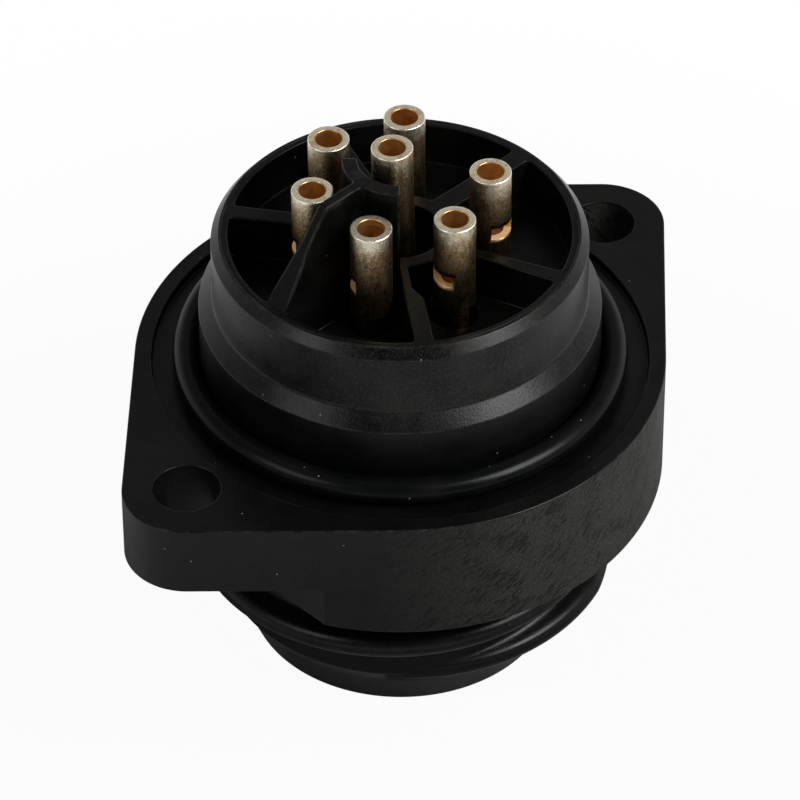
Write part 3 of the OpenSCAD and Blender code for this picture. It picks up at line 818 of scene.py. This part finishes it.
contacts = []
ahead = np.arange(barrel_columns) < slot_columns
tip_turns = np.radians(np.linspace(-90, 0, 14)[1:])
for i, facing in enumerate(np.radians(slot_facing)):
    earth = i == 6
    top = barrel_top_z + (earth_rise if earth else 0)
    tip = pin_tip_z - (earth_lead if earth else 0)
    slot_top_z = top - slot_drop
    slot_foot_z = slot_top_z - slot_height
    bore_foot_z = slot_foot_z - bore_below_slot
    round_tip = np.pad(pin_r * spokes(tip_turns) + (0, tip + pin_r), [(0, 0), (0, 1)])
    steps_up = rounded([
        [pin_r, tip + pin_r, 0], [pin_r, land_foot_z, 0.03], [land_r, land_foot_z, 0.03],
        [land_r, web_top_z, 0.03], [barrel_r, web_top_z, 0.04], [barrel_r, groove_foot_z, 0.05],
        [pin_r, groove_foot_z, 0.04], [pin_r, rear_collar_z, 0.04], [barrel_r, rear_collar_z, 0.05],
        [barrel_r, rear_collar_top_z, 0.05], [pin_r, rear_collar_top_z, 0.04],
        [pin_r, barrel_foot_z, 0.05], [barrel_r - barrel_bevel, barrel_foot_z, 0.05],
        [barrel_r, barrel_foot_z + barrel_bevel, 0.05], [barrel_r, slot_foot_z, 0]],
        steps=3, lead=close_lead)[1:-1]
    under_slot = slot_foot_z - gather_over * np.array([1, 0.5, 0])
    over_slot = slot_top_z + gather_over * np.array([0, 0.5, 1])
    below_slot = np.vstack([round_tip, steps_up, [[barrel_r, z, 0] for z in under_slot]])
    mouth = rounded([
        [barrel_r, slot_top_z, 0], [barrel_r, top, mouth_outer_edge],
        [wire_bore_r, top, mouth_inner_edge], [wire_bore_r, slot_top_z, 0]],
        steps=4, lead=close_lead)[1:-1]
    outer_edge, inner_edge = np.split(mouth, 2)
    outside = np.vstack([[[barrel_r, z, 0] for z in over_slot], outer_edge])
    inside = np.vstack([inner_edge, [[wire_bore_r, z, 0] for z in over_slot[::-1]]])
    bore_foot = np.array([[wire_bore_r, slot_foot_z, 0], [wire_bore_r, bore_foot_z, 0]])
    outer_turn, inner_turn = math.asin(slot_half_w / barrel_r), np.pi / 2
    lower, upper, bore_upper, bore_lower = (
        barrel_rows(profile, turn, facing, slot_foot_z, slot_top_z) for profile, turn in (
            (below_slot, outer_turn), (outside, outer_turn), (inside, inner_turn),
            (bore_foot, inner_turn)))
    tip_pole = np.broadcast_to([0, 0, tip, top - tip], lower[:1].shape)
    floor_pole = np.broadcast_to([0, 0, bore_foot_z, top - bore_foot_z], lower[:1].shape)
    cheeks = np.array([
        [lower[-1][c], upper[0][c], bore_upper[-1][c], bore_lower[0][c]] for c in (0, slot_columns)])
    patches = [
        skin(np.concatenate([tip_pole, lower])),
        skin(np.stack([lower[-1], upper[0]]), only=~ahead),
        skin(upper),
        skin(np.stack([upper[-1], bore_upper[0]]), soft=False),
        skin(bore_upper),
        skin(np.stack([bore_upper[-1], bore_lower[0]]), only=~ahead),
        skin(np.concatenate([bore_lower, floor_pole])),
        skin(np.stack([lower[-1], bore_lower[0]]), soft=False, only=ahead),
        skin(np.stack([bore_upper[-1], upper[0]]), soft=False, only=ahead),
        (cheeks.reshape(-1, 4), np.array([[0, 3, 2, 1], [4, 5, 6, 7]]), False),
    ]
    moved = []
    for points, faces, soft in patches:
        placed = leant(points) if earth else points + (*contact_places[i], 0, 0)
        moved.append((placed, faces, soft))
    name = "contact_" + ("earth" if earth else str(i + 1))
    contacts.append(piece(name + "_turned", moved, name, mark="below_mouth",
                          finishes=[0, 0, 0, 0, 1, 1, 1, 2, 2, 2]))

plating_silver = "#f4e9d2"
plating_brown = "#a88452"
plating_dark_and_painted_shade = "#3f3a2b"
plating_pink = "#d89d72"

# Silver flashed thinly over a turned copper alloy and tarnished: bright cream silver for about a
# millimetre under the mouth, then a mottled gold brown with pink patches where the alloy shows through.
# Lower down, from about 2 mm under the mouth and darkest about 5 mm down, where the barrel goes into the
# cavity, the colour is painted dark olive: painted shade. Handling has left a hammered grain, so the
# highlights break into specks, and bright silver specks near the top are painted into the colour as
# painted glints.
plated, put, coords = new_material("tarnished_silver_plating")
below = put("Attribute", attribute_name="below_mouth").outputs["Fac"]
streak_place = put("Mapping", coords, Scale=(0.00017, 0.00017, 0.0007), vector_type="TEXTURE")
streaks = put("TexNoise", streak_place, Scale=1.0, Detail=6.0, Roughness=0.8)
blotches = put("TexNoise", coords, Scale=1 / 0.0009, Detail=6.0, Roughness=0.78)
blush = put("TexNoise", coords, Scale=1 / 0.0009, Detail=6.0, Roughness=0.75)
specks = put("TexNoise", coords, Scale=1 / 0.00013, Detail=3.0, Roughness=0.75)
ragged = put("Math", blotches, 4.0, below, operation="MULTIPLY_ADD")

# Handling and sulphur browned the barrel; the pin, 12 mm and more below the mouth, stays silver
most = put("MapRange", below, 12.0, 15.0, To_Min=0.94, To_Max=0.3)
brown = put("MapRange", ragged, 2.1, 3.3, To_Max=most)
mottle = put("MapRange", streaks, 0.46, 0.58, To_Max=0.85)
# Darker, towards dark olive, from about 2 mm under the mouth and fullest about 5 mm down in the cavity:
# painted shade
painted_shade_deep = put("MapRange", ragged, 4.0, 7.2, To_Max=0.85)
mottle_and_painted_shade = put("Math", mottle, painted_shade_deep, operation="MAXIMUM")
mottle_and_painted_shade_here = put("Math", mottle_and_painted_shade, brown, operation="MULTIPLY")
pink = put("MapRange", blush, 0.52, 0.68, To_Max=0.55)
# Bright silver specks painted into the colour, strongest near the mouth and gone by about 4 mm down:
# painted glints
painted_glint_fade = put("MapRange", ragged, 2.5, 6.0, To_Min=0.8, To_Max=0.0)
painted_glint = put("MapRange", specks, 0.5, 0.7)
painted_glint_here = put("Math", painted_glint, painted_glint_fade, operation="MULTIPLY")
colour = linear(plating_silver)
for share, tint in (
        (brown, plating_brown), (mottle_and_painted_shade_here, plating_dark_and_painted_shade), (pink, plating_pink),
        (painted_glint_here, plating_silver)):
    colour = put("MixRGB", share, colour, linear(tint))
gloss = put("MapRange", streaks, 0.3, 0.7, To_Min=0.2, To_Max=0.42)
hammered = put("Bump", Height=specks, Strength=0.7, Distance=0.00004)
shader = put("BsdfPrincipled", Base_Color=colour, Metallic=1.0, Roughness=gloss, Normal=hammered)
put("OutputMaterial", Surface=shader)

alloy_bore = "#f0ce95"
alloy_shade = "#dfab6a"

# The wire bore as the drill left it: bare copper alloy, amber from the light that goes from wall to
# wall, with fine rings and a faint brown film
drilled, put, coords = new_material("drilled_copper_alloy")
ring_place = put("Mapping", coords, Scale=(0.004, 0.004, 0.00009), vector_type="TEXTURE")
rings = put("TexNoise", ring_place, Scale=1.0, Detail=2.0)
film = put("TexNoise", coords, Scale=1 / 0.0006, Detail=4.0)
filmed = put("MapRange", film, 0.4, 0.65)
colour = put("MixRGB", filmed, linear(alloy_bore), linear(alloy_shade))
gloss = put("MapRange", rings, 0.3, 0.7, To_Min=0.3, To_Max=0.44)
tool_marks = put("Bump", Height=rings, Strength=0.3, Distance=0.00001)
shader = put("BsdfPrincipled", Base_Color=colour, Metallic=1.0, Roughness=gloss, Normal=tool_marks)
put("OutputMaterial", Surface=shader)

alloy_cut = "#fff0d2"
alloy_cut_warm = "#f7d39a"

# The cheeks, floor and roof of the slot as the cutter left them: fresh bare alloy, pale peach and
# slightly rough, with fine lines along the cut
milled, put, coords = new_material("milled_copper_alloy")
line_place = put("Mapping", coords, Scale=(0.001, 0.001, 0.00007), vector_type="TEXTURE")
lines = put("TexNoise", line_place, Scale=1.0, Detail=3.0)
warmer = put("MapRange", lines, 0.4, 0.62)
colour = put("MixRGB", warmer, linear(alloy_cut), linear(alloy_cut_warm))
gloss = put("MapRange", lines, 0.3, 0.7, To_Min=0.6, To_Max=0.75)
shader = put("BsdfPrincipled", Base_Color=colour, Metallic=1.0, Roughness=gloss)
put("OutputMaterial", Surface=shader)
for contact in contacts:
    for finish in (plated, drilled, milled):
        contact.data.materials.append(finish)


# ---- Retaining clips ----
# The slit sleeves in the contacts' grooves, whose three tines spring out under the throat of each
# hole. Stamped from thin spring bronze strip and rolled round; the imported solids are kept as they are.

bronze = "#c39452"
bronze_dark = "#8c6232"

# Rolled phosphor bronze: warm, fairly bright, with fine lines along the strip and a faint brown cast
spring_bronze, put, coords = new_material("rolled_spring_bronze")
line_place = put("Mapping", coords, Scale=(0.00012, 0.00012, 0.003), vector_type="TEXTURE")
lines = put("TexNoise", line_place, Scale=1.0, Detail=3.0)
stain = put("TexNoise", coords, Scale=1 / 0.0012, Detail=4.0)
stained = put("MapRange", stain, 0.45, 0.7)
colour = put("MixRGB", stained, linear(bronze), linear(bronze_dark))
gloss = put("MapRange", lines, 0.3, 0.7, To_Min=0.25, To_Max=0.4)
shader = put("BsdfPrincipled", Base_Color=colour, Metallic=1.0, Roughness=gloss)
put("OutputMaterial", Surface=shader)
for contact in (1, 2, 3, 4, 5, 6, "earth"):
    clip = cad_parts["clip_" + str(contact)]
    clip.data.materials.clear()
    clip.data.materials.append(spring_bronze)


# ---- Panel seal ----
# The O-ring in the recess of the flange, round the seat. Moulded nitrile rubber, with the thin parting
# line that the two mould halves leave inside and outside, stretched on by hand.

seal_cord_r = 0.75
seal_centre_r = 11.9612
seal_centre_z = 0.32
parting_height = 0.012
parting_spread = 0.06

around_cord = np.radians(np.arange(0, 361, 5.0))
cord_r = seal_cord_r + parting_height * np.exp(-(np.sin(around_cord) / parting_spread) ** 2)
seal_profile = np.column_stack([
    seal_centre_r + cord_r * np.cos(around_cord), seal_centre_z + cord_r * np.sin(around_cord)])
seal_profile[-1] = seal_profile[0]
seal = piece("panel_seal_ring", [skin(turned(seal_profile))], "panel_seal")

rubber_black = "#040505"
rubber_bloom = "#0a0b0a"

# Nitrile rubber from a polished mould: black, with a broad soft sheen and a faint patchy bloom
nitrile, put, coords = new_material("moulded_nitrile_rubber")
bloom = put("TexNoise", coords, Scale=1 / 0.003, Detail=4.0)
skin_grain = put("TexNoise", coords, Scale=1 / 0.0002, Detail=2.0)
bloomed = put("MapRange", bloom, 0.4, 0.7)
grains = put("TexVoronoi", coords, Scale=1 / 0.0012)
dusty = put("MapRange", grains, 0.045, 0.025)
colour = linear(rubber_black)
for share, tint in ((bloomed, rubber_bloom), (dusty, dust_grey)):
    colour = put("MixRGB", share, colour, linear(tint))
gloss = put("MapRange", bloom, 0.3, 0.7, To_Min=0.24, To_Max=0.34)
fine = put("Bump", Height=skin_grain, Strength=0.15, Distance=0.00001)
shader = put(
    "BsdfPrincipled", Base_Color=colour, Roughness=gloss, IOR=1.52, Specular_IOR_Level=0.1, Normal=fine)
put("OutputMaterial", Surface=shader)
seal.data.materials.append(nitrile)


# ---- Photographer's table ----
# The plain white sweep that the part stands on. The camera sees it as the white of the surround, with a
# trace of the part's shadow. Metal and plastic mirror it the same way further out; close to the part
# they mirror the matt card, which is painted a darker grey there as painted shade.

table_z = nose_end_z / 1000 - 0.00002
table_half = 3.0
table_corners = [(-1, -1), (1, -1), (1, 1), (-1, 1)]
card_painted_shade = "#8f8f8f"
card_white = "#f0f0f0"
pure_white = "#ffffff"

table_mesh = bpy.data.meshes.new("table")
table_mesh.from_pydata(
    [(x * table_half, y * table_half, table_z) for x, y in table_corners], [], [(0, 1, 2, 3)])
table = bpy.data.objects.new("table", table_mesh)
bpy.context.scene.collection.objects.link(table)

# White card: matt, and shown near full white to the camera and in reflections. Within a few centimetres
# of the part the reflections show the matt card, whose colour is painted a darker grey there: painted
# shade.
card, put, coords = new_material("white_card_painted_shade")
away = put("VectorMath", coords, operation="LENGTH").outputs["Value"]
clear = put("MapRange", away, 0.03, 0.06)
path = put("LightPath").outputs
indirect = put("Math", path["Is Glossy Ray"], path["Is Transmission Ray"], operation="MAXIMUM")
mirrored = put("Math", indirect, clear, operation="MULTIPLY")
seen = put("Math", path["Is Camera Ray"], mirrored, operation="MAXIMUM")
lit = put("MapRange", seen, To_Max=0.95)
# The card is painted darker within 3 cm of the part's axis and lightens out to 6 cm: painted shade
painted_shade_tone = put("MixRGB", clear, linear(card_painted_shade), linear(card_white))
matt = put("BsdfDiffuse", Color=painted_shade_tone)
bright = put("Emission", Color=linear(pure_white), Strength=1.0)
both = put("MixShader", lit, matt, bright)
put("OutputMaterial", Surface=both)
table.data.materials.append(card)


# ---- Camera ----
# A long lens, 0.3 m away over the left front, at the photograph's viewing angle. The part's sides stay
# nearly parallel, and it fills about two thirds of the picture.

camera_place = (-0.1636, -0.1677, 0.20075)
camera_forward = (0.5262, 0.5395, -0.6573)
camera_right = (0.7141, -0.7000, -0.0028)

camera_data = bpy.data.cameras.new("camera")
camera_data.sensor_width = 36
camera_data.lens = 248.46
camera_data.clip_start = 0.01
camera_data.clip_end = 20
camera = bpy.data.objects.new("camera", camera_data)
forward = Vector(camera_forward).normalized()
right = Vector(camera_right)
right = (right - forward * right.dot(forward)).normalized()
axes = Matrix((right, right.cross(forward), -forward)).transposed().to_4x4()
camera.matrix_world = Matrix.Translation(camera_place) @ axes
bpy.context.scene.collection.objects.link(camera)
bpy.context.scene.camera = camera


# ---- Studio light ----
# Two soft boxes and a dim, even room. The white backdrop stands behind the part, up to about 15 degrees
# over the table; mirrored, the ceiling above it and the open side of the room are grey.


def soft_box(name, turn, rise, away, width, power):
    """A square lamp that faces the part from an angle round the axis and a rise over the table, in
    degrees, at a distance in metres."""
    lamp = bpy.data.lights.new(name, "AREA")
    lamp.shape = "SQUARE"
    lamp.size = width
    lamp.energy = power
    made = bpy.data.objects.new(name, lamp)
    turn, rise = math.radians(turn), math.radians(rise)
    towards = Vector((math.cos(turn) * math.cos(rise), math.sin(turn) * math.cos(rise), math.sin(rise)))
    made.location = towards * away
    made.rotation_euler = towards.to_track_quat("Z", "Y").to_euler()
    bpy.context.scene.collection.objects.link(made)


soft_box("right_soft_box", turn=-70, rise=42, away=0.6, width=0.3, power=4.6)
soft_box("left_soft_box", turn=171, rise=34, away=0.7, width=0.26, power=1.1)

# Matt surfaces get the even light of the room, while the camera and mirrors see the backdrop, which
# lies the way that the camera looks
backdrop_side = (0.698, 0.716, 0)
world = bpy.data.worlds.new("surround")
bpy.context.scene.world = world
world.use_nodes = True
world.node_tree.nodes.clear()
put = partial(add, world)
direction = put("TexCoord").outputs["Generated"]
height = put("SeparateXYZ", direction).outputs["Z"]
sweep = put("MapRange", height, 0.25, 0.5, To_Min=1.0, To_Max=0.29, interpolation_type="SMOOTHSTEP")
behind = put("VectorMath", direction, backdrop_side, operation="DOT_PRODUCT")
open_side = put("MapRange", behind.outputs["Value"], -0.3, 0.4, To_Min=0.3)
studio = put("Math", sweep, open_side, operation="MULTIPLY")
path = put("LightPath").outputs
direct = put("Math", path["Is Camera Ray"], path["Is Transmission Ray"], operation="MAXIMUM")
seen = put("Math", direct, path["Is Glossy Ray"], operation="MAXIMUM")
backdrop = put("Math", studio, direct, operation="MAXIMUM")
shown = put("Background", Color=backdrop, Strength=1.0)
room = put("Background", Color=linear(pure_white), Strength=0.3)
both = put("MixShader", seen, room, shown)
put("OutputWorld", Surface=both)
bpy.context.scene.view_settings.view_transform = "Standard"
